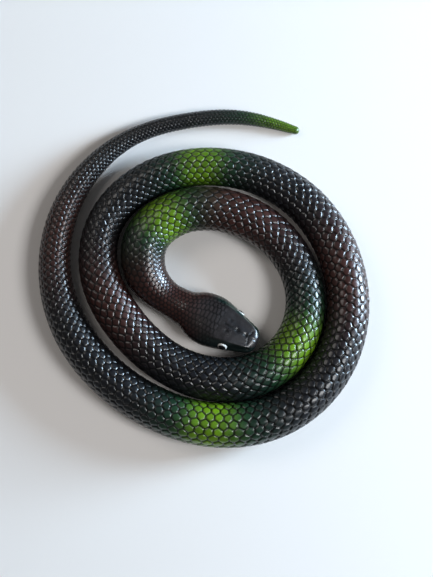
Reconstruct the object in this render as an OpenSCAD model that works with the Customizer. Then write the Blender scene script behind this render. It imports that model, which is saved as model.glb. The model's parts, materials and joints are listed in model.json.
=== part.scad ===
/* [Body] */
// Thickness of the body where it is fullest
body_d = 18; // [15:0.1:22]
// Height of the body's centre line over its flat belly, as a share of its half thickness
belly_share = 0.86; // [0.8:0.01:0.95]
// Diameter of the tail's blunt tip
tail_tip_d = 2.8; // [2:0.1:3.4]

/* [Coil] */
// Width of the open loop in the middle of the coil, where it is narrowest
loop_w = 36; // [30:0.5:45]
// Clear gap between neighbouring turns where they lie side by side
turn_gap = 0.5; // [0.4:0.1:2]

/* [Head] */
// Length of the head from its joint to the snout
head_len = 32.5; // [27:0.5:39]
// Width of the head across the jaw
head_w = 21; // [17:0.5:25.5]
// Depth of the head from crown to chin
head_h = 14; // [11.5:0.5:17]
// How far the head rises from its joint to the snout
chin_rise = 3; // [1:0.5:6]
// How far the head leans over to its left, in degrees
head_roll = 12; // [0:1:15]
// Clear gap between the side of the head and the turn it lies against
head_gap = 0.4; // [0.3:0.1:2]
// Diameter of each eye
eye_d = 4; // [3:0.1:5]

/* [Joints] */
// Clear gap between a rounded end and the hollow that it turns in
joint_gap = 0.3; // [0.25:0.05:0.5]
// Radius of each rounded end, as a share of the body's half thickness there
knuckle_share = 0.76; // [0.7:0.01:0.8]
// How far the head and the tail lift, in degrees
lift_angle = 40; // [20:1:45]
// How far the head turns away from the turn beside it, in degrees
head_turn_angle = 35; // [15:1:40]

/* [Hidden] */
$fn = 64;
far = 60;
skin = 0.2;
eps = 0.01;

// The coil winds clockwise from the head, seen from above, about the middle of its loop.
wind_start = 240;
table_step = 30;
turn_steps = 360 / table_step;

// Distance from the middle of the loop to its wall, all round the first turn, in loop half widths
loop_wall = [0.48, 0.64, 0.86, 1.03, 1.02, 0.99, 1.06, 1.31, 1.69, 2.03, 2.04, 1.83];

// Air between each later turn and the one inside it, where they don't lie side by side
air = [6, 4, 2, 1.5, 0.5, 0.5, 1.5, 2, 1.5, 0.5, 0.5, 0.5, 1.5, 3, 3.5, 4.5, 8, 9.5, 13.5, 15];

// Thickness along the body, as a share of the fullest
thickness = [0.81, 0.75, 0.93, 1, 0.98, 0.96, 0.94, 0.89, 0.84, 0.89, 0.95, 0.97, 0.92, 0.94, 0.87, 0.79,
             0.82, 0.83, 0.85, 0.89, 0.92, 0.94, 0.97, 0.97, 0.92, 0.86, 0.7, 0.57, 0.38, 0.32, 0.26, 0.19];

// How far round the coil each joint lies, in degrees from the head's joint
joints_at = [0, 26, 46, 62, 78, 94, 112, 134, 158, 182, 206, 230, 254, 278, 302, 326, 350, 374, 398, 422, 446,
             470, 494, 518, 542, 566, 590, 614, 638, 662, 686, 710, 734, 757, 779, 800, 821, 842, 863, 884];
last = len(joints_at) - 1;
tail_ends_at = 903;
head_lift_at = 0;
head_turn_at = 1;
tail_lift_at = 34;
first_cone = 32;
neck_links = 5;
tail_links = 9;
body_links = last + 1 - neck_links - tail_links;

// A smooth curve through the values b and c of an even table whose outer neighbours are a and d
function between(a, b, c, d, t) =
    b + 0.5 * t * (c - a + t * (2 * a - 5 * b + 4 * c - d + t * (3 * (b - c) + d - a)));
function at(table, wind) =
    let (x = wind / table_step, top = len(table) - 1, k = max(0, min(top - 1, floor(x))))
    between(table[max(0, k - 1)], table[k], table[k + 1], table[min(top, k + 2)], x - k);

function half(wind) = body_d / 2 * at(thickness, wind);
function loop_side(k) = loop_w / 2 * loop_wall[k] + half(k * table_step);
function winding_r(k) =
    k < turn_steps
    ? loop_side(k)
    : winding_r(k - turn_steps) + half(k * table_step) + half((k - turn_steps) * table_step)
      + turn_gap + air[k - turn_steps];
radii = [for (k = [0 : len(thickness) - 1]) winding_r(k)];
function spot(wind) =
    let (r = at(radii, wind), a = wind_start - wind)
    [r * cos(a), r * sin(a)];

function heading(p, q) = atan2(q[1] - p[1], q[0] - p[0]);
function turned(a) = a - 360 * round(a / 360);

// Where each joint stands, then the tip of the tail, and the direction of the body between them
coil_spots = [for (w = concat(joints_at, tail_ends_at)) spot(w)];
chords = [for (j = [0 : last]) heading(coil_spots[j], coil_spots[j + 1])];
halves = [for (w = joints_at) half(w)];

// Crown, jaws and snout, rounded over pairs of balls: place along the head, half width there and ball size,
// as shares of the head's length, width and depth
head_balls = [[0.27, 0.5, 0.46], [0.4, 0.49, 0.48], [0.63, 0.395, 0.42], [0.8, 0.31, 0.35], [0.905, 0.2, 0.25]];

// The head lies as far back as it can against the turn beside it.
wall_winds = [for (w = [240 : 4 : 372]) w];
function head_ball_spot(ball, way) =
    let (side = ball[1] * head_w - ball[2] * head_h,
         flat = coil_spots[0] + ball[0] * head_len * [cos(way), sin(way)]
                + side * cos(head_roll) * [sin(way), -cos(way)])
    [flat[0], flat[1], belly_share * halves[0] + ball[0] * chin_rise + side * sin(head_roll)];
function wall_spot(w) = [spot(w)[0], spot(w)[1], belly_share * half(w)];
function head_clear(way) =
    min([for (ball = head_balls, w = wall_winds)
         norm(head_ball_spot(ball, way) - wall_spot(w)) - ball[2] * head_h - half(w)]);
function head_back(way) = head_clear(way) >= head_gap || way > 60 ? way : head_back(way + 0.25);
head_way = head_back(-50);

// Bend of the body at each joint, and of the stretch between one joint and the next
joint_ways = [for (j = [0 : last])
              j == 0 ? chords[0] : chords[j - 1] + turned(chords[j] - chords[j - 1]) / 2];
joint_bends = [for (j = [0 : last]) j == 0 ? turned(chords[0] - head_way - 180) : turned(chords[j] - chords[j - 1])];
function link_bend(j) = j == last ? 0 : turned(joint_ways[j + 1] - joint_ways[j]);
function link_half(j) = (halves[j] + halves[j + 1]) / 2;
function knuckle_r(j) = knuckle_share * halves[j];

// How far each joint turns: a lift by its own angle, the head's turn by its own, and every other joint until
// the snake lies straight. The joints on both sides of the tail's lift share its bend.
function travel(j) =
    j == head_lift_at || j == tail_lift_at ? lift_angle
    : j == head_turn_at ? head_turn_angle
    : abs(joint_bends[j]) + (abs(j - tail_lift_at) == 1 ? abs(joint_bends[tail_lift_at]) / 2 : 0);
function setback(j) = halves[j] * sin(travel(j)) + joint_gap;

// Middle of the whole coil, so that the snake stands on the origin
outline = [for (w = [300 : 2 : joints_at[last]]) [spot(w), half(w)]];
middle = [for (i = [0, 1])
          (max([for (o = outline) o[0][i] + o[1]]) + min([for (o = outline) o[0][i] - o[1]])) / 2];

neck_names = [for (n = [1 : neck_links]) str("neck_", n)];
body_names = [for (n = [1 : body_links]) str("body_", n < 10 ? "0" : "", n)];
tail_names = [for (n = [1 : tail_links]) n == tail_links ? "tail_tip" : str("tail_", n)];
link_names = concat(neck_names, body_names, tail_names);

// Puts a piece where joint j is, with +X along the body towards the tail
module at_joint(j, way) {
    translate([coil_spots[j][0] - middle[0], coil_spots[j][1] - middle[1], 0]) rotate(way) children();
}

// Cuts away everything below the surface that the snake lies on
module on_the_ground() {
    difference() {
        children();
        translate([-4 * far, -4 * far, -far]) cube([8 * far, 8 * far, far]);
    }
}

// A stretch of body that curves to the right, from the joint at the origin
module curved_tube(chord, bend, r) {
    radius = chord / 2 / sin(bend / 2);
    translate([chord / 2, -radius * cos(bend / 2), 0])
        rotate(90 - bend / 2)
            rotate_extrude(angle = bend, $fn = 360)
                translate([radius, belly_share * r]) circle(r);
}

// A straight stretch that tapers from one half thickness to another, level underneath
module tapered_tube(chord, r0, r1) {
    z0 = belly_share * r0;
    z1 = belly_share * r1;
    slope = atan2(z1 - z0, chord);
    translate([0, 0, z0])
        rotate([0, 90 - slope, 0])
            cylinder(r1 = r0, r2 = r1, h = norm([chord, z1 - z0]));
}

// The rounded end that turns in the hollow of the piece before it
module knuckle(j, r, lifts) {
    intersection() {
        translate([-2 * r, 0, belly_share * r]) rotate([0, 90, 0]) cylinder(r = r - skin, h = 2 * r + 2);
        if (lifts)
            translate([0, far / 2, belly_share * halves[j]]) rotate([90, 0, 0])
                cylinder(r = knuckle_r(j), h = far);
        else
            translate([0, 0, -eps]) cylinder(r = knuckle_r(j), h = 3 * r);
    }
}

// The hollow for the next piece's rounded end, and the room to bend
module hollow(j, lifts) {
    if (lifts)
        translate([0, far / 2, belly_share * halves[j]]) rotate([90, 0, 0])
            cylinder(r = knuckle_r(j) + joint_gap, h = far);
    else
        translate([0, 0, -1]) cylinder(r = knuckle_r(j) + joint_gap, h = far);
    translate([-setback(j), -far / 2, -1]) cube([far, far, far]);
}

// One length of the body, from joint j to the next
module link(j) {
    chord = norm(coil_spots[j + 1] - coil_spots[j]);
    bend = -link_bend(j);
    front_r = j >= first_cone ? halves[j] : link_half(j);
    on_the_ground()
        difference() {
            union() {
                at_joint(j, chords[j])
                    if (j >= first_cone || bend < 2)
                        tapered_tube(chord, halves[j], halves[j + 1]);
                    else
                        curved_tube(chord, bend, link_half(j));
                at_joint(j, joint_ways[j]) knuckle(j, front_r, j == head_lift_at || j == tail_lift_at);
            }
            at_joint(j + 1, joint_ways[j + 1]) hollow(j + 1, j + 1 == tail_lift_at);
        }
}

// The blunt end of the tail
module tail_tip() {
    tip_r = tail_tip_d / 2;
    chord = norm(coil_spots[last + 1] - coil_spots[last]) - tip_r;
    on_the_ground()
        at_joint(last, chords[last]) {
            knuckle(last, halves[last], false);
            tapered_tube(chord, halves[last], tip_r);
            translate([chord, 0, belly_share * tip_r]) sphere(tip_r);
        }
}

// Places a piece of the head, with +X towards the snout and the chin at its own height
head_slope = atan2(chin_rise, head_len);
module at_head() {
    at_joint(0, head_way)
        translate([0, 0, belly_share * halves[0]])
            rotate([0, -head_slope, 0])
                rotate([-head_roll, 0, 0])
                    children();
}

eye_spot = [0.63 * head_len, 0.345 * head_w, 0.17 * head_h];
module eye_ball(side, r) {
    translate([eye_spot[0], side * eye_spot[1], eye_spot[2]]) sphere(r);
}

module head_shape() {
    neck_r = halves[0] - skin;
    hull($fn = 32) {
        translate([neck_r * 0.3, 0, 0]) sphere(neck_r);
        for (ball = head_balls, side = [-1, 1])
            translate([ball[0] * head_len, side * (ball[1] * head_w - ball[2] * head_h), 0])
                sphere(ball[2] * head_h);
    }
}

module head() {
    color([0.09, 0.1, 0.1])
        on_the_ground()
            difference() {
                at_head()
                    difference() {
                        head_shape();
                        eye_ball(1, eye_d / 2 + eps);
                        eye_ball(-1, eye_d / 2 + eps);
                    }
                at_joint(0, joint_ways[0]) hollow(0, true);
            }
}

module left_eye() {
    color([0.9, 0.9, 0.88]) at_head() eye_ball(1, eye_d / 2);
}

module right_eye() {
    color([0.9, 0.9, 0.88]) at_head() eye_ball(-1, eye_d / 2);
}

// Paint along the back: dark, with green and brown stretches, by the joint they are centred on
green = [0.32, 0.55, 0.08];
brown = [0.3, 0.17, 0.14];
dark = [0.1, 0.11, 0.12];
green_at = [114, 278, 508, 692, 900];
brown_at = [20, 180, 400, 594, 794];
function near(wind, spots) = min([for (s = spots) abs(wind - s)]) < 16;
function paint(j) =
    let (wind = (joints_at[j] + joints_at[min(last, j + 1)]) / 2)
    near(wind, green_at) ? green : near(wind, brown_at) ? brown : dark;

head();
left_eye();
right_eye();
for (j = [0 : last - 1])
    color(paint(j)) link(j);
color(paint(last)) tail_tip();
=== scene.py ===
import json
import math
import bpy
import numpy as np
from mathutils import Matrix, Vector

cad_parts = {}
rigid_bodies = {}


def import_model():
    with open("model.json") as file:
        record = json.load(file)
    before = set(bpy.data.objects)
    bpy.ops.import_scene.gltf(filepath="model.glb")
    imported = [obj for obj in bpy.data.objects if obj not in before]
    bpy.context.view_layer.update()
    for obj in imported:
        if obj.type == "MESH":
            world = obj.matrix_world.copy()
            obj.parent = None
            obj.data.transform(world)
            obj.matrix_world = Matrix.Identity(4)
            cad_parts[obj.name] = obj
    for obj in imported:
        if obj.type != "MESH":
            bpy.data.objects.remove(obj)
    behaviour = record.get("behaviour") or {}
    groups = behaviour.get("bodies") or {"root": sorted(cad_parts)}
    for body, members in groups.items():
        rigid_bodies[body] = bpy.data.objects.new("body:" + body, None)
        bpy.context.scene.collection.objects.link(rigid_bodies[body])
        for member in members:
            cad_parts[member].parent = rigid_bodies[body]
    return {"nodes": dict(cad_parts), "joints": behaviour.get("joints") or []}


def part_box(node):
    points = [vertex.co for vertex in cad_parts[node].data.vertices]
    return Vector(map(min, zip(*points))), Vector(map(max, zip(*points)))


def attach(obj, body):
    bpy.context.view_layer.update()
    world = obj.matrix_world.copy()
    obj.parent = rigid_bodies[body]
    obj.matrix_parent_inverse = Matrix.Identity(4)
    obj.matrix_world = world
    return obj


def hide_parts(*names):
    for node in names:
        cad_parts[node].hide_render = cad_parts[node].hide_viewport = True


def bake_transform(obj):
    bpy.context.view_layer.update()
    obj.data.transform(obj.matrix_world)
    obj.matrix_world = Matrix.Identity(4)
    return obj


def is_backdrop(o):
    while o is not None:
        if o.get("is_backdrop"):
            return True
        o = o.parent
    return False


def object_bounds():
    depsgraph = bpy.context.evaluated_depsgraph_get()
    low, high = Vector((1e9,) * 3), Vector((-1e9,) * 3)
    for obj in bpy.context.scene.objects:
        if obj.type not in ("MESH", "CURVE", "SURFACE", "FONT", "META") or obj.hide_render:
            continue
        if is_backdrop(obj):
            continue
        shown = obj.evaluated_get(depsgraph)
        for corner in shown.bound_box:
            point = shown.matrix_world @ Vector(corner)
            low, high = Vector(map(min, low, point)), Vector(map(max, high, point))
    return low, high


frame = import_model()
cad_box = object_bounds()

# ---------------------------------------------------------------------------------------------------------
# The line of the body.
# The snake is one moulding of soft rubber, cast in its coil. Everything in it follows one line down the
# middle of the body, from the snout to the tip of the tail, which runs through every joint of the frame.
# ---------------------------------------------------------------------------------------------------------
MM = 0.001
BELLY_SHARE = 0.86     # height of the body's middle off the ground, as a share of its half width
TAIL_TIP_HALF = 1.4    # half width of the tail's rounded end, in mm
END_REACH = 0.05       # points this near to the farthest one make up an end, in mm
LINE_STEP = 0.05       # short step along the line that its direction is taken over, in mm

joints = frame["joints"]
joint_spots = np.array([joint["pos_m"] for joint in joints]) / MM


def farthest(node, spot):
    """The end of a node that is farthest from a spot, level with the ground."""
    corners = np.array([v.co for v in frame["nodes"][node].data.vertices]) / MM
    reach = np.linalg.norm(corners[:, :2] - spot[:2], axis=1)
    return corners[reach > reach.max() - END_REACH].mean(axis=0)


def smooth_curve(places, values):
    """A natural cubic curve through values at places, as a function of place."""
    places, values = np.array(places, float), np.array(values, float)
    step = np.diff(places)
    count = len(places)
    rows, right = np.eye(count), np.zeros_like(values)
    for k in range(1, count - 1):
        rows[k, k - 1:k + 2] = step[k - 1], 2 * (step[k - 1] + step[k]), step[k]
        right[k] = 6 * ((values[k + 1] - values[k]) / step[k] - (values[k] - values[k - 1]) / step[k - 1])
    bend = np.linalg.solve(rows, right)

    def at(x):
        x = np.asarray(x, float)
        k = np.clip(np.searchsorted(places, x) - 1, 0, count - 2)
        h, a, b = step[k], places[k + 1] - x, x - places[k]
        if values.ndim > 1:
            h, a, b = h[..., None], a[..., None], b[..., None]
        return ((bend[k] * a ** 3 + bend[k + 1] * b ** 3) / (6 * h)
                + (values[k] / h - bend[k] * h / 6) * a + (values[k + 1] / h - bend[k + 1] * h / 6) * b)
    return at


# Places along the body are in mm from the head's joint, less than nothing on the head.
snout = farthest("head", joint_spots[0])
tail_end = farthest("tail_tip", joint_spots[-1])
head_length = np.linalg.norm(snout[:2] - joint_spots[0][:2])
head_forward = (snout[:2] - joint_spots[0][:2]) / head_length
head_rise = (snout[2] - joint_spots[0][2]) / head_length
head_places = [-head_length, -0.66 * head_length, -0.33 * head_length]
head_line = [joint_spots[0][:2] - place * head_forward for place in head_places]
body_line = np.vstack([joint_spots[:, :2], tail_end[:2]])
body_places = np.concatenate([[0], np.cumsum(np.linalg.norm(np.diff(body_line, axis=0), axis=1))])
line_at = smooth_curve(np.concatenate([head_places, body_places]), np.vstack([head_line, body_line]))
tail_place = body_places[-1]
half_at = smooth_curve(body_places, np.append(joint_spots[:, 2] / BELLY_SHARE, TAIL_TIP_HALF))


def way_at(place):
    """Direction of the body towards the tail, level with the ground."""
    ahead = line_at(place + LINE_STEP) - line_at(place - LINE_STEP)
    return ahead / np.linalg.norm(ahead, axis=-1, keepdims=True)


# ---------------------------------------------------------------------------------------------------------
# The skin's rings.
# The mould gives the rubber one unbroken skin. Rings of points run round it, close enough together to carry
# the moulded scales. Every ring starts under the belly, and its angle is 0 at the middle of the back.
# ---------------------------------------------------------------------------------------------------------
RING_STEP = 0.3        # mm
RING_POINTS = 180
CAP_RINGS = 14         # rings in each rounded end
SNOUT_CAP = 3.2        # length of the snout's rounded end, in mm
SNOUT_SHARE = 0.98     # the skin's snout, as a share of the frame's head
SNOUT_HOLE = 0.002     # the first ring stands this far back from the very end, in mm

cap_turn = np.linspace(0, math.pi / 2, CAP_RINGS, endpoint=False)
skin_snout = SNOUT_SHARE * head_length
tail_cap_place = tail_place - TAIL_TIP_HALF
snout_rings = -skin_snout + SNOUT_CAP * (1 - np.cos(cap_turn))
tail_rings = tail_place - TAIL_TIP_HALF * (1 - np.cos(cap_turn[::-1]))
middle_rings = np.arange(-skin_snout + SNOUT_CAP, tail_cap_place, RING_STEP)
places = np.concatenate([snout_rings, middle_rings, tail_rings])
places[0] += SNOUT_HOLE
angles = np.linspace(-180, 180, RING_POINTS, endpoint=False)
place, angle = np.meshgrid(places, angles, indexing="ij")
side = np.abs(angle)
round_turn = np.radians(angle)

back_places = np.maximum(places, 0)
half_line = half_at(back_places)
into_tip = np.clip((places - tail_cap_place) / TAIL_TIP_HALF, 0, 0.9999)
half_line = half_line * np.where(into_tip > 0, np.sqrt(1 - into_tip ** 2), 1)
body_half = half_line[:, None] * np.ones_like(place)

# ---------------------------------------------------------------------------------------------------------
# The head's outline.
# The head is part of the same moulding: wide at the jaw, flat on the crown, with a blunt snout. It is
# given by its half width, crown and chin at a few places forward from the neck, in mm.
# ---------------------------------------------------------------------------------------------------------
HEAD_ROLL = 12         # the head lies over a little to one side, in degrees
SNOUT_FROM = 0.88      # the snout starts to close at this share of the head's length
SNOUT_BLUNT = 2.8      # 2 would close it as an ellipse
head_stations = [  # share of the head's length, half width, crown, chin (None is as the neck), squareness
    (0.00, None, None, None, 2.0),
    (0.12, 9.2, 7.1, 6.4, 2.1),
    (0.25, 10.4, 7.0, 6.5, 2.3),
    (0.38, 10.4, 6.9, 6.6, 2.5),
    (0.53, 9.3, 6.4, 6.2, 2.6),
    (0.64, 8.2, 5.9, 5.6, 2.7),
    (0.77, 6.9, 5.0, 4.8, 2.7),
    (0.88, 5.7, 4.0, 3.9, 2.6),
    (0.93, 5.0, 3.4, 3.4, 2.6),
]
station_shares = [row[0] for row in head_stations]
last_station = station_shares[-1]
neck_half = float(half_at(0.0))


def head_curve(column, first):
    """One column of the stations as a smooth curve, which runs level into the neck."""
    values = [first if row[column] is None else row[column] for row in head_stations]
    return smooth_curve([-0.3, -0.15] + station_shares, [first, first] + values)


forward = -place / head_length        # 0 at the head's joint, 1 at the frame's snout
on_head = forward > 0
station = np.clip(forward, 0, last_station)
closing = np.clip((forward - SNOUT_FROM) / (SNOUT_SHARE - SNOUT_FROM), 0, 1)
snout_round = np.sqrt(np.clip(1 - closing ** SNOUT_BLUNT, 0, 1))
width = np.where(on_head, head_curve(1, neck_half)(station) * snout_round, body_half)
crown = np.where(on_head, head_curve(2, neck_half)(station) * snout_round, body_half)
chin = np.where(on_head, head_curve(3, neck_half)(station) * snout_round, body_half)
square = np.where(on_head, head_curve(4, 2.0)(station), 2.0)

# ---------------------------------------------------------------------------------------------------------
# The scales.
# About twelve rows of six-sided scales run down the back, small on the neck and head. Each is a little
# pillow that stands higher at its tail end, cut into the mould by hand and so never quite like the next.
# The belly has one broad plate to each scale, wrapped up round the sides.
# ---------------------------------------------------------------------------------------------------------
BELLY_EDGE = 108       # the scales end and the plates start at this angle from the back
SCALE_WANDER = 0.16    # how far a scale may be off its place, as a share of its size
SCALE_EDGE = 0.15      # width of a scale's rounded edge, as a share of its length, like all that follow
SCALE_HIGH = 0.095
DOME_HIGH = 0.028
DOME_WIDE = 0.55
SCALE_TILT = 0.075
PLATE_EDGE = 0.1
PLATE_HIGH = 0.05
PLATE_TILT = 0.03
EDGE_LINE = 0.05       # depth of the line where scales and plates meet
GROOVE_WIDE = 0.15
GROOVE_SCALE = 3.4     # scales shorter than this, in mm, have grooves of a larger share
GROOVE_MOST = 1.8      # up to this many times

# Places along the body in mm, with a scale's length there as a share of the body's half width, and the angle
# from one row to the next in degrees
size_places = [-40, -15, 0, 15, 30, 45, 60, 100, 280, 360, 560, 600, 650, 720]
pitch_share = smooth_curve(size_places, [0.21, 0.215, 0.225, 0.26, 0.32, 0.38, 0.42, 0.45, 0.45, 0.44,
                                         0.44, 0.45, 0.5, 0.6])
row_angle = smooth_curve(size_places, [13, 13, 13, 14, 15, 16, 16.4, 16.6, 16.8, 19.2, 19.2, 20, 23, 28])


def eased(x, low, high):
    """0 up to low, 1 from high on, with a soft rise between."""
    t = np.clip((x - low) / (high - low), 0, 1)
    return t * t * (3 - 2 * t)


def scatter(i, k, seed):
    """A fixed number from 0 to 1 for each scale."""
    x = np.sin(i * 12.9898 + k * 78.233 + seed * 37.719) * 43758.5453
    return x - np.floor(x)


least_half = np.maximum(half_line, TAIL_TIP_HALF)
scale_pitch = pitch_share(places) * least_half
mean_pitch = (scale_pitch[1:] + scale_pitch[:-1]) / 2
count_along = np.concatenate([[0], np.cumsum(np.diff(places) / mean_pitch)])
across = angle / row_angle(places)[:, None]
along = count_along[:, None] + 0 * place
size_across = (np.radians(row_angle(places)) * least_half)[:, None]
size_across = size_across * np.where(on_head, width / neck_half, 1)
size_along = scale_pitch[:, None] + 0 * place

# Each point finds the nearest scale's middle and the second nearest, so it knows how far the edge is.
nearest = np.full(place.shape, 1e9)
second = np.full(place.shape, 1e9)
near_spot, second_spot = np.zeros(place.shape + (2,)), np.zeros(place.shape + (2,))
near_name = np.zeros(place.shape + (2,))
for row_step in (-1, 0, 1):
    i = np.round(across) + row_step
    for scale_step in (-1, 0, 1):
        k = np.round(along - i / 2) + scale_step
        off_row = SCALE_WANDER * (scatter(i, k, 1) - 0.5)
        off_pitch = SCALE_WANDER * (scatter(i, k, 2) - 0.5)
        spot = np.stack([(i + off_row - across) * size_across,
                         (k + i / 2 + off_pitch - along) * size_along], axis=-1)
        gap = (spot ** 2).sum(axis=-1)
        closer = gap < nearest
        runner_up = ~closer & (gap < second)
        second = np.where(closer, nearest, np.where(runner_up, gap, second))
        nearest = np.where(closer, gap, nearest)
        closer, runner_up = closer[..., None], runner_up[..., None]
        second_spot = np.where(closer, near_spot, np.where(runner_up, spot, second_spot))
        near_spot = np.where(closer, spot, near_spot)
        near_name = np.where(closer, np.stack([i, k], axis=-1), near_name)
edge = (second - nearest) / (2 * np.linalg.norm(second_spot - near_spot, axis=-1) + 1e-6)
scale_shade = scatter(near_name[..., 0], near_name[..., 1], 3)

# The scales are cut less deep on the neck and deeper on the tail.
cut_depth = 0.65 + 0.35 * eased(place, 25, 60) + 0.45 * eased(place, 520, 620)
pillow = eased(edge / size_along, 0, SCALE_EDGE)
dome = np.clip(1 - nearest / (DOME_WIDE * size_along) ** 2, 0, 1)
tailward = -near_spot[..., 1] / size_along
scale_form = (SCALE_HIGH + SCALE_TILT * tailward) * pillow + DOME_HIGH * dome
back_relief = size_along * cut_depth * scale_form

plate = along - np.floor(along)
plate_pillow = eased(np.minimum(plate, 1 - plate), 0, PLATE_EDGE)
belly_relief = size_along * (PLATE_HIGH * plate_pillow + PLATE_TILT * (plate - 0.5) * plate_pillow)
on_belly = eased(side, BELLY_EDGE - 2, BELLY_EDGE + 2)
belly_line = np.exp(-((side - BELLY_EDGE) / 2.5) ** 2)
relief = back_relief * (1 - on_belly) + belly_relief * on_belly - EDGE_LINE * size_along * belly_line
line_share = GROOVE_WIDE * np.clip(GROOVE_SCALE / size_along, 1, GROOVE_MOST)
# raised marks where the skin stands up; outside it the grooves are given painted shade
raised = eased(edge / size_along, 0.01, line_share) * (1 - on_belly) + plate_pillow * on_belly

# ---------------------------------------------------------------------------------------------------------
# The head's own relief.
# Fine scales cover the back of the head and stop at the crown, where broad smooth plates meet in thin
# lines. A ridge runs from over each eye to the snout, and the mouth is a line along the jaw.
# ---------------------------------------------------------------------------------------------------------
CROWN_FROM = 0.47      # the fine scales stop at this share of the head's length
RIDGE_HIGH = 0.42      # heights and depths in mm
BROW_HIGH = 0.45
JAW_HIGH = 0.2
CROWN_DEEP = 0.3
CHEEK_DEEP = 0.45
PLATE_LINE_DEEP = 0.14
PIT_DEEP = 0.24
MOUTH_DEEP = 0.42
LIP_LINE_DEEP = 0.12
NOSTRIL_DEEP = 0.6
LINE_HALF = 0.3        # half width of the mouth and of the lines between plates, in mm
MOUTH_ANGLE = 101      # angles from the middle of the crown, in degrees
LIP_PLATE = 2.3        # length of a lip scale, in mm
MOUTH_WAVE = 5         # degrees
NOSTRIL_AT = 0.9       # share of the head's length
NOSTRIL_ANGLE = 58
NOSTRIL_HALF = 0.62    # mm
NOSE_HALF = 4.4        # half width of the snout at the nostrils, in mm
crown_lines = [  # from place and side to place and side, in mm forward of the head's joint and off its middle
    (17.0, 0.0, 30.6, 0.0), (27.6, 0.0, 28.4, 3.0),
]
crown_pits = [  # mm forward, mm off the middle, size in mm, share of the full depth
    (26.4, 0.2, 0.75, 1.0), (22.6, 0.3, 0.8, 1.0), (18.6, 2.4, 0.8, 0.8),
]


def swell(x, middle, spread, power=2):
    """1 at the middle, falling softly away on both sides."""
    return np.exp(-np.abs((x - middle) / spread) ** power)


def plateau(x, start, full, fading, gone):
    """A rise from start to full and a fall from fading to gone."""
    return eased(x, start, full) * (1 - eased(x, fading, gone))


def from_line(px, py, ax, ay, bx, by):
    """Distance from each point to the line from a to b."""
    dx, dy = bx - ax, by - ay
    t = np.clip(((px - ax) * dx + (py - ay) * dy) / (dx * dx + dy * dy), 0, 1)
    return np.hypot(px - ax - t * dx, py - ay - t * dy)


on_plates = eased(forward, CROWN_FROM - 0.05, CROWN_FROM + 0.04)
on_top = eased(np.cos(np.radians(side)), 0.05, 0.3)
round_power = 2 / square
mm_aside = width * np.abs(np.sin(np.radians(side))) ** round_power
mm_forward = forward * head_length

crown_gap = np.full(place.shape, 9.0)
for ends in crown_lines:
    crown_gap = np.minimum(crown_gap, from_line(mm_forward, mm_aside, *ends))
crown_groove = swell(crown_gap, 0, LINE_HALF) * on_top * on_plates
pits = np.zeros(place.shape)
for pit_place, pit_side, pit_size, pit_share in crown_pits:
    pits += pit_share * swell(np.hypot(mm_forward - pit_place, mm_aside - pit_side), 0, pit_size)
pits = pits * on_top * on_plates

# Each form has an angle from the middle of the crown and a stretch of the head, in shares of its length
ridge = swell(side, 38, 7) * plateau(forward, 0.36, 0.5, 0.84, 0.95)
hollow_crown = swell(side, 12, 16) * plateau(forward, 0.55, 0.66, 0.86, 0.95)
hollow_cheek = swell(side, 66, 13) * plateau(forward, 0.66, 0.74, 0.86, 0.93)
brow = swell(side, 50, 9) * swell(forward, 0.63, 0.07)
jaw = swell(side, 84, 14) * plateau(forward, 0.2, 0.4, 0.9, 1.0)

mouth_side = MOUTH_ANGLE + MOUTH_WAVE * np.sin(np.clip(forward, 0, 1) * 5.2)
mouth_mm = (side - mouth_side) * np.radians(1) * width
mouth = swell(mouth_mm, 0, LINE_HALF) * eased(forward, 0.26, 0.32)
lip_step = np.abs((mm_forward / LIP_PLATE) % 1 - 0.5) * LIP_PLATE
lip_lines = swell(lip_step, LIP_PLATE / 2, 0.2) * eased(forward, 0.34, 0.4)
lip_band = swell(side, mouth_side - 16, 11, 4) + swell(side, mouth_side + 13, 9, 4)
nostril_aside = (side - NOSTRIL_ANGLE) * np.radians(1) * NOSE_HALF
nostril_gap = np.hypot(mm_forward - NOSTRIL_AT * head_length, nostril_aside)
nostril = swell(nostril_gap, 0, NOSTRIL_HALF)

head_relief = (RIDGE_HIGH * ridge + BROW_HIGH * brow + JAW_HIGH * jaw
               - CROWN_DEEP * hollow_crown - CHEEK_DEEP * hollow_cheek
               - PLATE_LINE_DEEP * crown_groove - PIT_DEEP * pits
               - MOUTH_DEEP * mouth - LIP_LINE_DEEP * lip_lines * lip_band - NOSTRIL_DEEP * nostril)
scaled = 1 - on_plates * (1 - on_belly)
jaw_plain = eased(side, 76, 88) * eased(forward, 0.3, 0.42)
scaled = scaled * (1 - jaw_plain * (1 - eased(side, 112, 118)))
head_scales = scaled * (1 - 0.35 * eased(forward, 0, 0.2))
relief = relief * np.where(on_head, head_scales, 1) + np.where(on_head, head_relief, 0)
# The crown lines, pits, mouth and nostrils are kept out of raised, so they take the painted shade too
head_cuts = np.clip(crown_groove + pits + 0.8 * mouth + nostril, 0, 1)
raised = np.where(on_head, (1 - scaled * (1 - raised)) * (1 - head_cuts), raised)

# ---------------------------------------------------------------------------------------------------------
# The skin's surface.
# The relief stands on the outline, and fades out at the snout and at the tip of the tail. Where the belly
# meets the ground the rubber is flat, with the lines between the plates a little way up in it.
# ---------------------------------------------------------------------------------------------------------
SKIN_OUT = 0.12        # the middle of the relief stands this far outside the outline, in mm
RELIEF_MIDDLE = 0.09   # the middle of the relief, as a share of a scale's length
PLATE_LINE_UP = 0.22   # mm
TAIL_FADE = 5          # the relief fades in over this length from the tail's tip, in mm
SNOUT_FADE = 1.2       # and over this length from the snout

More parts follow.
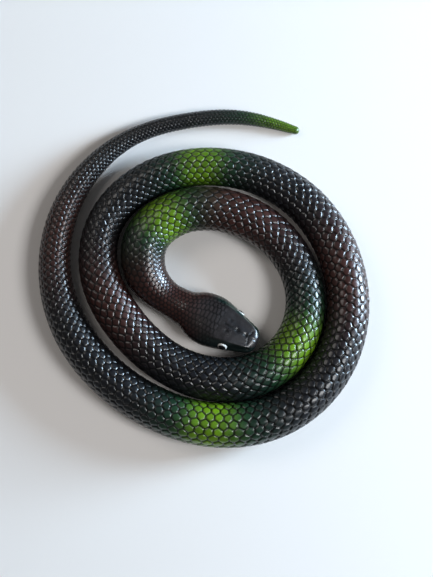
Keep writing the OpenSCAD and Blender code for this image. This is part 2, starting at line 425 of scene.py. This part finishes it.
tail_fade = np.clip((tail_place - place) / TAIL_FADE, 0, 1)
tip_fade = tail_fade * np.clip((place + skin_snout) / SNOUT_FADE, 0, 1)
stands = (relief - RELIEF_MIDDLE * size_along) * tip_fade + SKIN_OUT
tall = np.where(np.cos(round_turn) > 0, crown, chin)
out_y = np.sign(np.sin(round_turn)) * width * np.abs(np.sin(round_turn)) ** round_power
out_z = np.sign(np.cos(round_turn)) * tall * np.abs(np.cos(round_turn)) ** round_power
out_size = np.maximum(np.hypot(out_y, out_z), 1e-6)
grown = 1 + stands * np.clip(out_size, 0, 1) / out_size
out_y, out_z = out_y * grown, out_z * grown

roll = np.radians(HEAD_ROLL) * eased(forward, 0.0, 0.3)
rolled_y = out_y * np.cos(roll) + out_z * np.sin(roll)
rolled_z = out_z * np.cos(roll) - out_y * np.sin(roll)

head_height = joint_spots[0][2] - places * head_rise
middle_height = np.where(places < 0, head_height, BELLY_SHARE * half_at(back_places))
line = line_at(places)
way = way_at(places)
left = np.stack([way[:, 1], -way[:, 0]], axis=1)
ground_line = PLATE_LINE_UP * (1 - plate_pillow) * on_belly * tip_fade
points = np.empty(place.shape + (3,))
points[..., :2] = line[:, None, :] + rolled_y[..., None] * left[:, None, :]
points[..., 2] = np.maximum(middle_height[:, None] + rolled_z, ground_line)
points *= MM

# Smooth normals of the whole skin, so that the shading runs on from one stretch to the next
step_along = np.gradient(points, axis=0)
step_round = np.roll(points, -1, axis=1) - np.roll(points, 1, axis=1)
normals = np.cross(step_round, step_along)
normals /= np.linalg.norm(normals, axis=-1, keepdims=True) + 1e-12

# ---------------------------------------------------------------------------------------------------------
# The paint.
# The rubber is near black all through. Five yellow-green patches and as many red-brown stretches are
# sprayed across the back in soft-edged bands, the head's sides are sprayed dark green, and all is glossy.
# Painted shade darkens the grooves and cuts, the flanks in part, and the right side of the head.
# ---------------------------------------------------------------------------------------------------------
green_bands = [(47, 9.5), (141, 11.5), (311, 9.5), (484, 11.5), (708, 14)]   # middle and half length, in mm
brown_bands = [(8, 22), (76, 24), (231, 20), (390, 22), (593, 22)]
BAND_EDGE = 2.6        # a band's ends are sharper for more
DEEP_GREEN_WIDE = 1.75   # the thin dark green reaches this much further than the bright green
BROWN_STRENGTH = 0.85
RIGHT_SIDE_SHADE_SHARE = 0.35     # the right of the head, which lies in shadow, keeps this share of the left's green, as painted shade
BACK_DARK = (0.0062, 0.0066, 0.0086)
BELLY_DARK = (0.013, 0.012, 0.012)
BROWN = (0.054, 0.0175, 0.0125)
GREEN = (0.12, 0.235, 0.0035)
DEEP_GREEN = (0.005, 0.042, 0.016)
HEAD_SIDE = (0.004, 0.025, 0.0185)
HEAD_TOP = (0.024, 0.0195, 0.019)
# painted shade for the grooves and cuts, darker than the bare rubber
PAINTED_GROOVE_SHADE = (0.0008, 0.001, 0.0012)
DUST = (0.16, 0.15, 0.15)


def band_strength(bands):
    return np.max([swell(places, middle, half, BAND_EDGE) for middle, half in bands], axis=0)[:, None]


def spray_and_flank_shade(low_share):
    """The paint lies full on the back and thins to a low share far down the sides: partly how the spray from
    above lands, partly painted shade on the flanks.
    """
    return low_share + (1 - low_share) * (1 - eased(side, 50, 110))


deep_bands = [(middle, DEEP_GREEN_WIDE * half) for middle, half in green_bands]
green_paint = band_strength(green_bands) * spray_and_flank_shade(0.3)
deep_paint = band_strength(deep_bands) * spray_and_flank_shade(0.6)
brown_paint = BROWN_STRENGTH * band_strength(brown_bands) * spray_and_flank_shade(0.2)
brown_paint = brown_paint * (1 - 0.75 * eased(forward, 0.05, 0.45))
# The green on the right of the head is cut down as painted shade.
head_green = eased(side, 34, 46) * eased(forward, 0.2, 0.4) * np.where(angle > 0, 1, RIGHT_SIDE_SHADE_SHARE)
crown_dark = swell(side, 0, 15) * plateau(forward, 0.5, 0.6, 0.88, 0.95)
head_top = eased(forward, -0.1, 0.25) * (1 - eased(side, 34, 48)) * (1 - 0.8 * crown_dark)

skin = bpy.data.materials.new("sprayed_rubber")
skin.use_nodes = True
tree = skin.node_tree
tree.nodes.clear()


def feed(socket, value):
    """Links a socket to another socket, or sets its number or colour."""
    if isinstance(value, bpy.types.NodeSocket):
        tree.links.new(value, socket)
    else:
        socket.default_value = value + (1,) if isinstance(value, tuple) else value


def mix(amount, a, b, way_of_mixing="MIX"):
    node = tree.nodes.new("ShaderNodeMix")
    node.data_type = "RGBA"
    node.blend_type = way_of_mixing
    for socket, value in ((node.inputs["Factor"], amount), (node.inputs[6], a), (node.inputs[7], b)):
        feed(socket, value)
    return node.outputs[2]


def attribute(name):
    node = tree.nodes.new("ShaderNodeAttribute")
    node.attribute_name = name
    return node.outputs["Fac"]


def arithmetic(kind, *values):
    """A sum on numbers, held between 0 and 1."""
    node = tree.nodes.new("ShaderNodeMath")
    node.operation = kind
    node.use_clamp = True
    for socket, value in zip(node.inputs, values):
        feed(socket, value)
    return node.outputs[0]


def rescaled(value, from_low, from_high, to_low, to_high):
    node = tree.nodes.new("ShaderNodeMapRange")
    settings = {"Value": value, "From Min": from_low, "From Max": from_high,
                "To Min": to_low, "To Max": to_high}
    for name, setting in settings.items():
        feed(node.inputs[name], setting)
    return node.outputs[0]


def noise(scale, detail, roughness):
    node = tree.nodes.new("ShaderNodeTexNoise")
    settings = {"Vector": rubber_place, "Scale": scale, "Detail": detail, "Roughness": roughness}
    for name, setting in settings.items():
        feed(node.inputs[name], setting)
    return node.outputs["Fac"]


rubber_place = tree.nodes.new("ShaderNodeTexCoord").outputs["Object"]
blotch = noise(140.0, 4.0, 0.6)
grain = noise(1700.0, 3.0, 0.65)

# The spray is a little patchy and each scale has a tone of its own. The grooves and cuts keep none of the
# spray and are painted darker than the bare rubber, as painted shade.
mist = arithmetic("MULTIPLY_ADD", blotch, 0.9, 0.5)
green_core = arithmetic("POWER", arithmetic("MULTIPLY", attribute("green"), mist), 1.6)
colour = mix(attribute("belly"), BACK_DARK, BELLY_DARK)
colour = mix(arithmetic("MULTIPLY", attribute("brown"), mist), colour, BROWN)
colour = mix(arithmetic("MULTIPLY", attribute("deep_green"), mist), colour, DEEP_GREEN)
colour = mix(green_core, colour, GREEN)
colour = mix(arithmetic("MULTIPLY", attribute("head_top"), 0.7), colour, HEAD_TOP)
colour = mix(arithmetic("MULTIPLY", attribute("side_green"), 0.85), colour, HEAD_SIDE)
scale_tone = tree.nodes.new("ShaderNodeCombineColor")
tone = rescaled(attribute("shade"), 0.0, 1.0, 0.78, 1.25)
for channel in ("Red", "Green", "Blue"):
    feed(scale_tone.inputs[channel], tone)
colour = mix(1.0, colour, scale_tone.outputs[0], "MULTIPLY")
# painted shade: the grooves and cuts go darker than the bare rubber
colour = mix(arithmetic("SUBTRACT", 1.0, attribute("raised")), colour, PAINTED_GROOVE_SHADE)
dusty = arithmetic("MULTIPLY", arithmetic("SUBTRACT", grain, 0.5), 0.2)
colour = mix(dusty, colour, DUST)

gloss = tree.nodes.new("ShaderNodeBsdfPrincipled")
gloss.inputs["Specular IOR Level"].default_value = 0.4
gloss.inputs["Coat Weight"].default_value = 0.4
gloss.inputs["Coat Roughness"].default_value = 0.12
feed(gloss.inputs["Base Color"], colour)
feed(gloss.inputs["Roughness"], rescaled(blotch, 0.3, 0.7, 0.25, 0.42))
fine_grain = tree.nodes.new("ShaderNodeBump")
fine_grain.inputs["Strength"].default_value = 0.35
fine_grain.inputs["Distance"].default_value = 0.00012
feed(fine_grain.inputs["Height"], grain)
feed(gloss.inputs["Normal"], fine_grain.outputs[0])
skin_output = tree.nodes.new("ShaderNodeOutputMaterial")
feed(skin_output.inputs["Surface"], gloss.outputs[0])

# ---------------------------------------------------------------------------------------------------------
# The stretches of skin.
# The rubber bends at every joint of the frame, so its skin is made in one stretch to each joint, from the
# middle of one length to the middle of the next. The ends of neighbouring stretches share their points.
# ---------------------------------------------------------------------------------------------------------
HEAD_SEAM = -3.6       # mm
TAIL_SEAM = 9.0        # mm past the last joint
middles = (body_places[:-2] + body_places[1:-1]) / 2
seams = [HEAD_SEAM] + list(middles) + [body_places[-2] + TAIL_SEAM]
seam_rings = [int(np.argmin(np.abs(places - seam))) for seam in seams]
skin_fields = {
    "green": green_paint, "deep_green": deep_paint, "brown": brown_paint, "belly": on_belly,
    "shade": scale_shade, "raised": raised, "side_green": head_green, "head_top": head_top,
}


def skin_piece(name, first, last, close_start=False, close_end=False):
    """The skin from one ring to another, with its paint and a map of its own for baking."""
    rings = last - first + 1
    block = points[first:last + 1].reshape(-1, 3)
    ring, spot = np.meshgrid(np.arange(rings - 1), np.arange(RING_POINTS), indexing="ij")
    a = ring * RING_POINTS + spot
    b = ring * RING_POINTS + (spot + 1) % RING_POINTS
    faces = np.stack([a, b, b + RING_POINTS, a + RING_POINTS], axis=-1).reshape(-1, 4)
    u = np.stack([spot, spot + 1, spot + 1, spot], axis=-1).ravel() / RING_POINTS
    v = np.stack([ring, ring, ring + 1, ring + 1], axis=-1).ravel() / (rings - 1)

    hubs, hub_normals, caps = [], [], []
    if close_start:
        hubs.append(block[:RING_POINTS].mean(axis=0))
        hub_normals.append(-np.append(way[0], 0))
        caps += [(len(block), (k + 1) % RING_POINTS, k) for k in range(RING_POINTS)]
    if close_end:
        base = len(block) - RING_POINTS
        hub = len(block) + len(hubs)
        hubs.append(block[base:].mean(axis=0))
        hub_normals.append(np.append(way[-1], 0))
        caps += [(hub, base + k, base + (k + 1) % RING_POINTS) for k in range(RING_POINTS)]

    mesh = bpy.data.meshes.new(name)
    mesh.from_pydata(np.vstack([block] + hubs).tolist(), [], faces.tolist() + caps)
    mesh.update()
    baking = np.full((len(mesh.loops), 2), 0.5)
    baking[:u.size, 0], baking[:u.size, 1] = u, v
    mesh.uv_layers.new(name="OFBake").data.foreach_set("uv", baking.ravel())
    for field, values in skin_fields.items():
        own = values[first:last + 1].ravel()
        own = np.concatenate([own, np.full(len(hubs), own[-1])])
        mesh.attributes.new(field, "FLOAT", "POINT").data.foreach_set("value", own.astype(np.float32))
    mesh.shade_smooth()
    own_normals = normals[first:last + 1].reshape(-1, 3)
    mesh.normals_split_custom_set_from_vertices(np.vstack([own_normals] + hub_normals).tolist())
    mesh.materials.append(skin)
    piece = bpy.data.objects.new(name, mesh)
    bpy.context.scene.collection.objects.link(piece)
    return piece


head_skin = skin_piece("skin_head", 0, seam_rings[0], close_start=True)
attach(head_skin, "head")
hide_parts("head")

nearer = "head"
for j, joint in enumerate(joints):
    further = joint["child"] if joint["parent"] == nearer else joint["parent"]
    first, last = seam_rings[j], seam_rings[j + 1]
    piece = skin_piece("skin_" + further, first, last)
    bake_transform(piece)
    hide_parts(further)
    nearer = further

tail_skin = skin_piece("skin_tail_end", seam_rings[-1], len(places) - 1, close_end=True)
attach(tail_skin, "tail_tip")

# ---------------------------------------------------------------------------------------------------------
# The eyes.
# Each eye is a round bump of the moulding, painted by hand: a white ring round a black pupil, both glossy.
# It is turned as one round form about the line that it looks along.
# ---------------------------------------------------------------------------------------------------------
EYE_POINTS = 40
PUPIL_RINGS = 4        # the black reaches out over this many rings of the profile
EYE_LOOKS_UP = 24      # degrees
EYE_LOOKS_AHEAD = 0.12
EYE_LONG = 1.02
EYE_TALL = 0.92
RING_WHITE = (0.78, 0.76, 0.72)
PUPIL_BLACK = (0.006, 0.006, 0.007)
eye_profile = [  # distance off the line, height along it, in shares of the eye's half width
    (0.0, 0.8), (0.2, 0.79), (0.4, 0.755), (0.56, 0.7), (0.7, 0.63), (0.72, 0.635), (0.75, 0.62),
    (0.8, 0.58), (0.86, 0.52), (0.91, 0.44), (0.94, 0.34), (0.95, 0.2), (0.95, 0.0),
]


def eye_paint(name, colour, roughness):
    """Gloss paint, put on with a brush, so its colour and gloss vary a little."""
    paint = bpy.data.materials.new(name)
    paint.use_nodes = True
    nodes, links = paint.node_tree.nodes, paint.node_tree.links
    body = nodes["Principled BSDF"]
    body.inputs["Coat Weight"].default_value = 0.6
    body.inputs["Coat Roughness"].default_value = 0.08
    strokes = nodes.new("ShaderNodeTexNoise")
    strokes.inputs["Scale"].default_value = 900.0
    spread = nodes.new("ShaderNodeMapRange")
    spread.inputs["To Min"].default_value = roughness
    spread.inputs["To Max"].default_value = roughness + 0.15
    links.new(strokes.outputs["Fac"], spread.inputs["Value"])
    links.new(spread.outputs[0], body.inputs["Roughness"])
    tone = nodes.new("ShaderNodeMix")
    tone.data_type = "RGBA"
    tone.inputs[6].default_value = colour + (1,)
    tone.inputs[7].default_value = tuple(0.7 * part for part in colour) + (1,)
    links.new(strokes.outputs["Fac"], tone.inputs["Factor"])
    links.new(tone.outputs[2], body.inputs["Base Color"])
    return paint


ring_paint = eye_paint("white_eye_ring", RING_WHITE, 0.25)
pupil_paint = eye_paint("black_pupil", PUPIL_BLACK, 0.08)

for node, hand in (("left_eye", 1), ("right_eye", -1)):
    low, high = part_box(node)
    middle = np.array((low + high) / 2)
    half = (high - low)[0] / 2
    ahead = np.append(head_forward, 0)
    sideways = np.array([-head_forward[1], head_forward[0], 0]) * hand
    tilt = math.radians(EYE_LOOKS_UP - hand * HEAD_ROLL)
    looks = sideways * math.cos(tilt) + np.array([0, 0, 1]) * math.sin(tilt) + EYE_LOOKS_AHEAD * ahead
    looks /= np.linalg.norm(looks)
    over = np.cross(looks, ahead)
    over /= np.linalg.norm(over)
    level = np.cross(over, looks)
    vertices, faces, paints = [tuple(middle + looks * eye_profile[0][1] * half)], [], []
    for off, up in eye_profile[1:]:
        for k in range(EYE_POINTS):
            a = 2 * math.pi * k / EYE_POINTS
            rim = level * math.cos(a) * EYE_LONG + over * math.sin(a) * EYE_TALL
            vertices.append(tuple(middle + half * (looks * up + off * rim)))
    for k in range(EYE_POINTS):
        faces.append((0, 1 + k, 1 + (k + 1) % EYE_POINTS))
        paints.append(1)
    for ring in range(len(eye_profile) - 2):
        for k in range(EYE_POINTS):
            a = 1 + ring * EYE_POINTS + k
            b = 1 + ring * EYE_POINTS + (k + 1) % EYE_POINTS
            faces.append((a, a + EYE_POINTS, b + EYE_POINTS, b))
            paints.append(1 if ring < PUPIL_RINGS else 0)
    mesh = bpy.data.meshes.new("painted_" + node)
    mesh.from_pydata(vertices, [], faces)
    mesh.materials.append(ring_paint)
    mesh.materials.append(pupil_paint)
    mesh.polygons.foreach_set("material_index", paints)
    mesh.update()
    mesh.shade_smooth()
    eye = bpy.data.objects.new("painted_" + node, mesh)
    bpy.context.scene.collection.objects.link(eye)
    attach(eye, "head")
    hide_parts(node)

# ---------------------------------------------------------------------------------------------------------
# The floor.
# A plain white matt floor that the snake lies on. It isn't part of the snake, and lies a hair below the
# belly, so that the two don't share a surface.
# ---------------------------------------------------------------------------------------------------------
FLOOR_HALF = 3         # m
FLOOR_DROP = 0.0002    # m
FLOOR_WHITE = (0.98, 0.935, 0.9)

floor_corners = [(-FLOOR_HALF, -FLOOR_HALF, 0), (FLOOR_HALF, -FLOOR_HALF, 0),
                 (FLOOR_HALF, FLOOR_HALF, 0), (-FLOOR_HALF, FLOOR_HALF, 0)]
floor_mesh = bpy.data.meshes.new("floor")
floor_mesh.from_pydata(floor_corners, [], [(0, 1, 2, 3)])
floor = bpy.data.objects.new("floor", floor_mesh)
bpy.context.scene.collection.objects.link(floor)
floor.location.z = -FLOOR_DROP
white = bpy.data.materials.new("white_floor")
white.use_nodes = True
matt = white.node_tree.nodes["Principled BSDF"]
matt.inputs["Base Color"].default_value = FLOOR_WHITE + (1,)
matt.inputs["Roughness"].default_value = 0.9
floor_mesh.materials.append(white)
floor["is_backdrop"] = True

# ---------------------------------------------------------------------------------------------------------
# The lights.
# Two small cool lights stand low on the right and give the scales their crisp edges. A larger one shines
# from higher up, and a faint warm one fills the left. The room itself is dim, which keeps the rubber black.
# ---------------------------------------------------------------------------------------------------------
COOL = (0.6, 0.8, 1.0)
NEAR_WHITE = (0.96, 0.98, 1.0)
WARM = (1.0, 0.96, 0.92)
ROOM_COLOUR = (0.95, 0.97, 1.0)
ROOM_STRENGTH = 0.08


def soft_light(name, spot, size, power, tint):
    """A square light in metres and watts, which faces the middle of the coil."""
    light = bpy.data.lights.new(name, "AREA")
    light.size = size
    light.energy = power
    light.color = tint
    lamp = bpy.data.objects.new(name, light)
    lamp.location = spot
    lamp.rotation_euler = (-Vector(spot)).to_track_quat("-Z", "Y").to_euler()
    bpy.context.scene.collection.objects.link(lamp)


soft_light("window_light", (0.85, 0.2, 0.27), 0.26, 13, COOL)
soft_light("low_light", (0.8, 0.22, 0.07), 0.25, 9, COOL)
soft_light("top_light", (0.75, -0.25, 0.9), 0.4, 6.5, NEAR_WHITE)
soft_light("fill_light", (-0.6, 0.45, 0.8), 0.5, 2, WARM)

room = bpy.data.worlds.new("room")
room.use_nodes = True
room.node_tree.nodes["Background"].inputs["Color"].default_value = ROOM_COLOUR + (1,)
room.node_tree.nodes["Background"].inputs["Strength"].default_value = ROOM_STRENGTH
bpy.context.scene.world = room
bpy.context.scene.view_settings.view_transform = "Standard"   # keeps the full depth of the blacks

# ---------------------------------------------------------------------------------------------------------
# The camera.
# It looks down on the coil from almost straight above, leaning a little to the near side, and stands more
# than four times the coil's width away.
# ---------------------------------------------------------------------------------------------------------
CAMERA_LEAN = 4        # degrees
CAMERA_AWAY = 0.6      # m
VIEW_HIGH = 0.2315     # height of the view at the coil, in m
SENSOR = 36
camera_aim = Vector((0.0052, -0.0048, 0.008))

camera_lean = math.radians(CAMERA_LEAN)
camera_way = Vector((0, -math.sin(camera_lean), math.cos(camera_lean)))
camera_data = bpy.data.cameras.new("camera")
camera_data.sensor_width = SENSOR
camera_data.lens = SENSOR * CAMERA_AWAY / VIEW_HIGH
camera = bpy.data.objects.new("camera", camera_data)
camera.location = camera_aim + camera_way * CAMERA_AWAY
camera.rotation_euler = (camera_lean, 0, 0)
bpy.context.scene.collection.objects.link(camera)
bpy.context.scene.camera = camera


def plain(value):
    return [plain(part) for part in value] if hasattr(value, "__len__") else float(value)


{"cad": plain(cad_box), "visual": plain(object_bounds())}
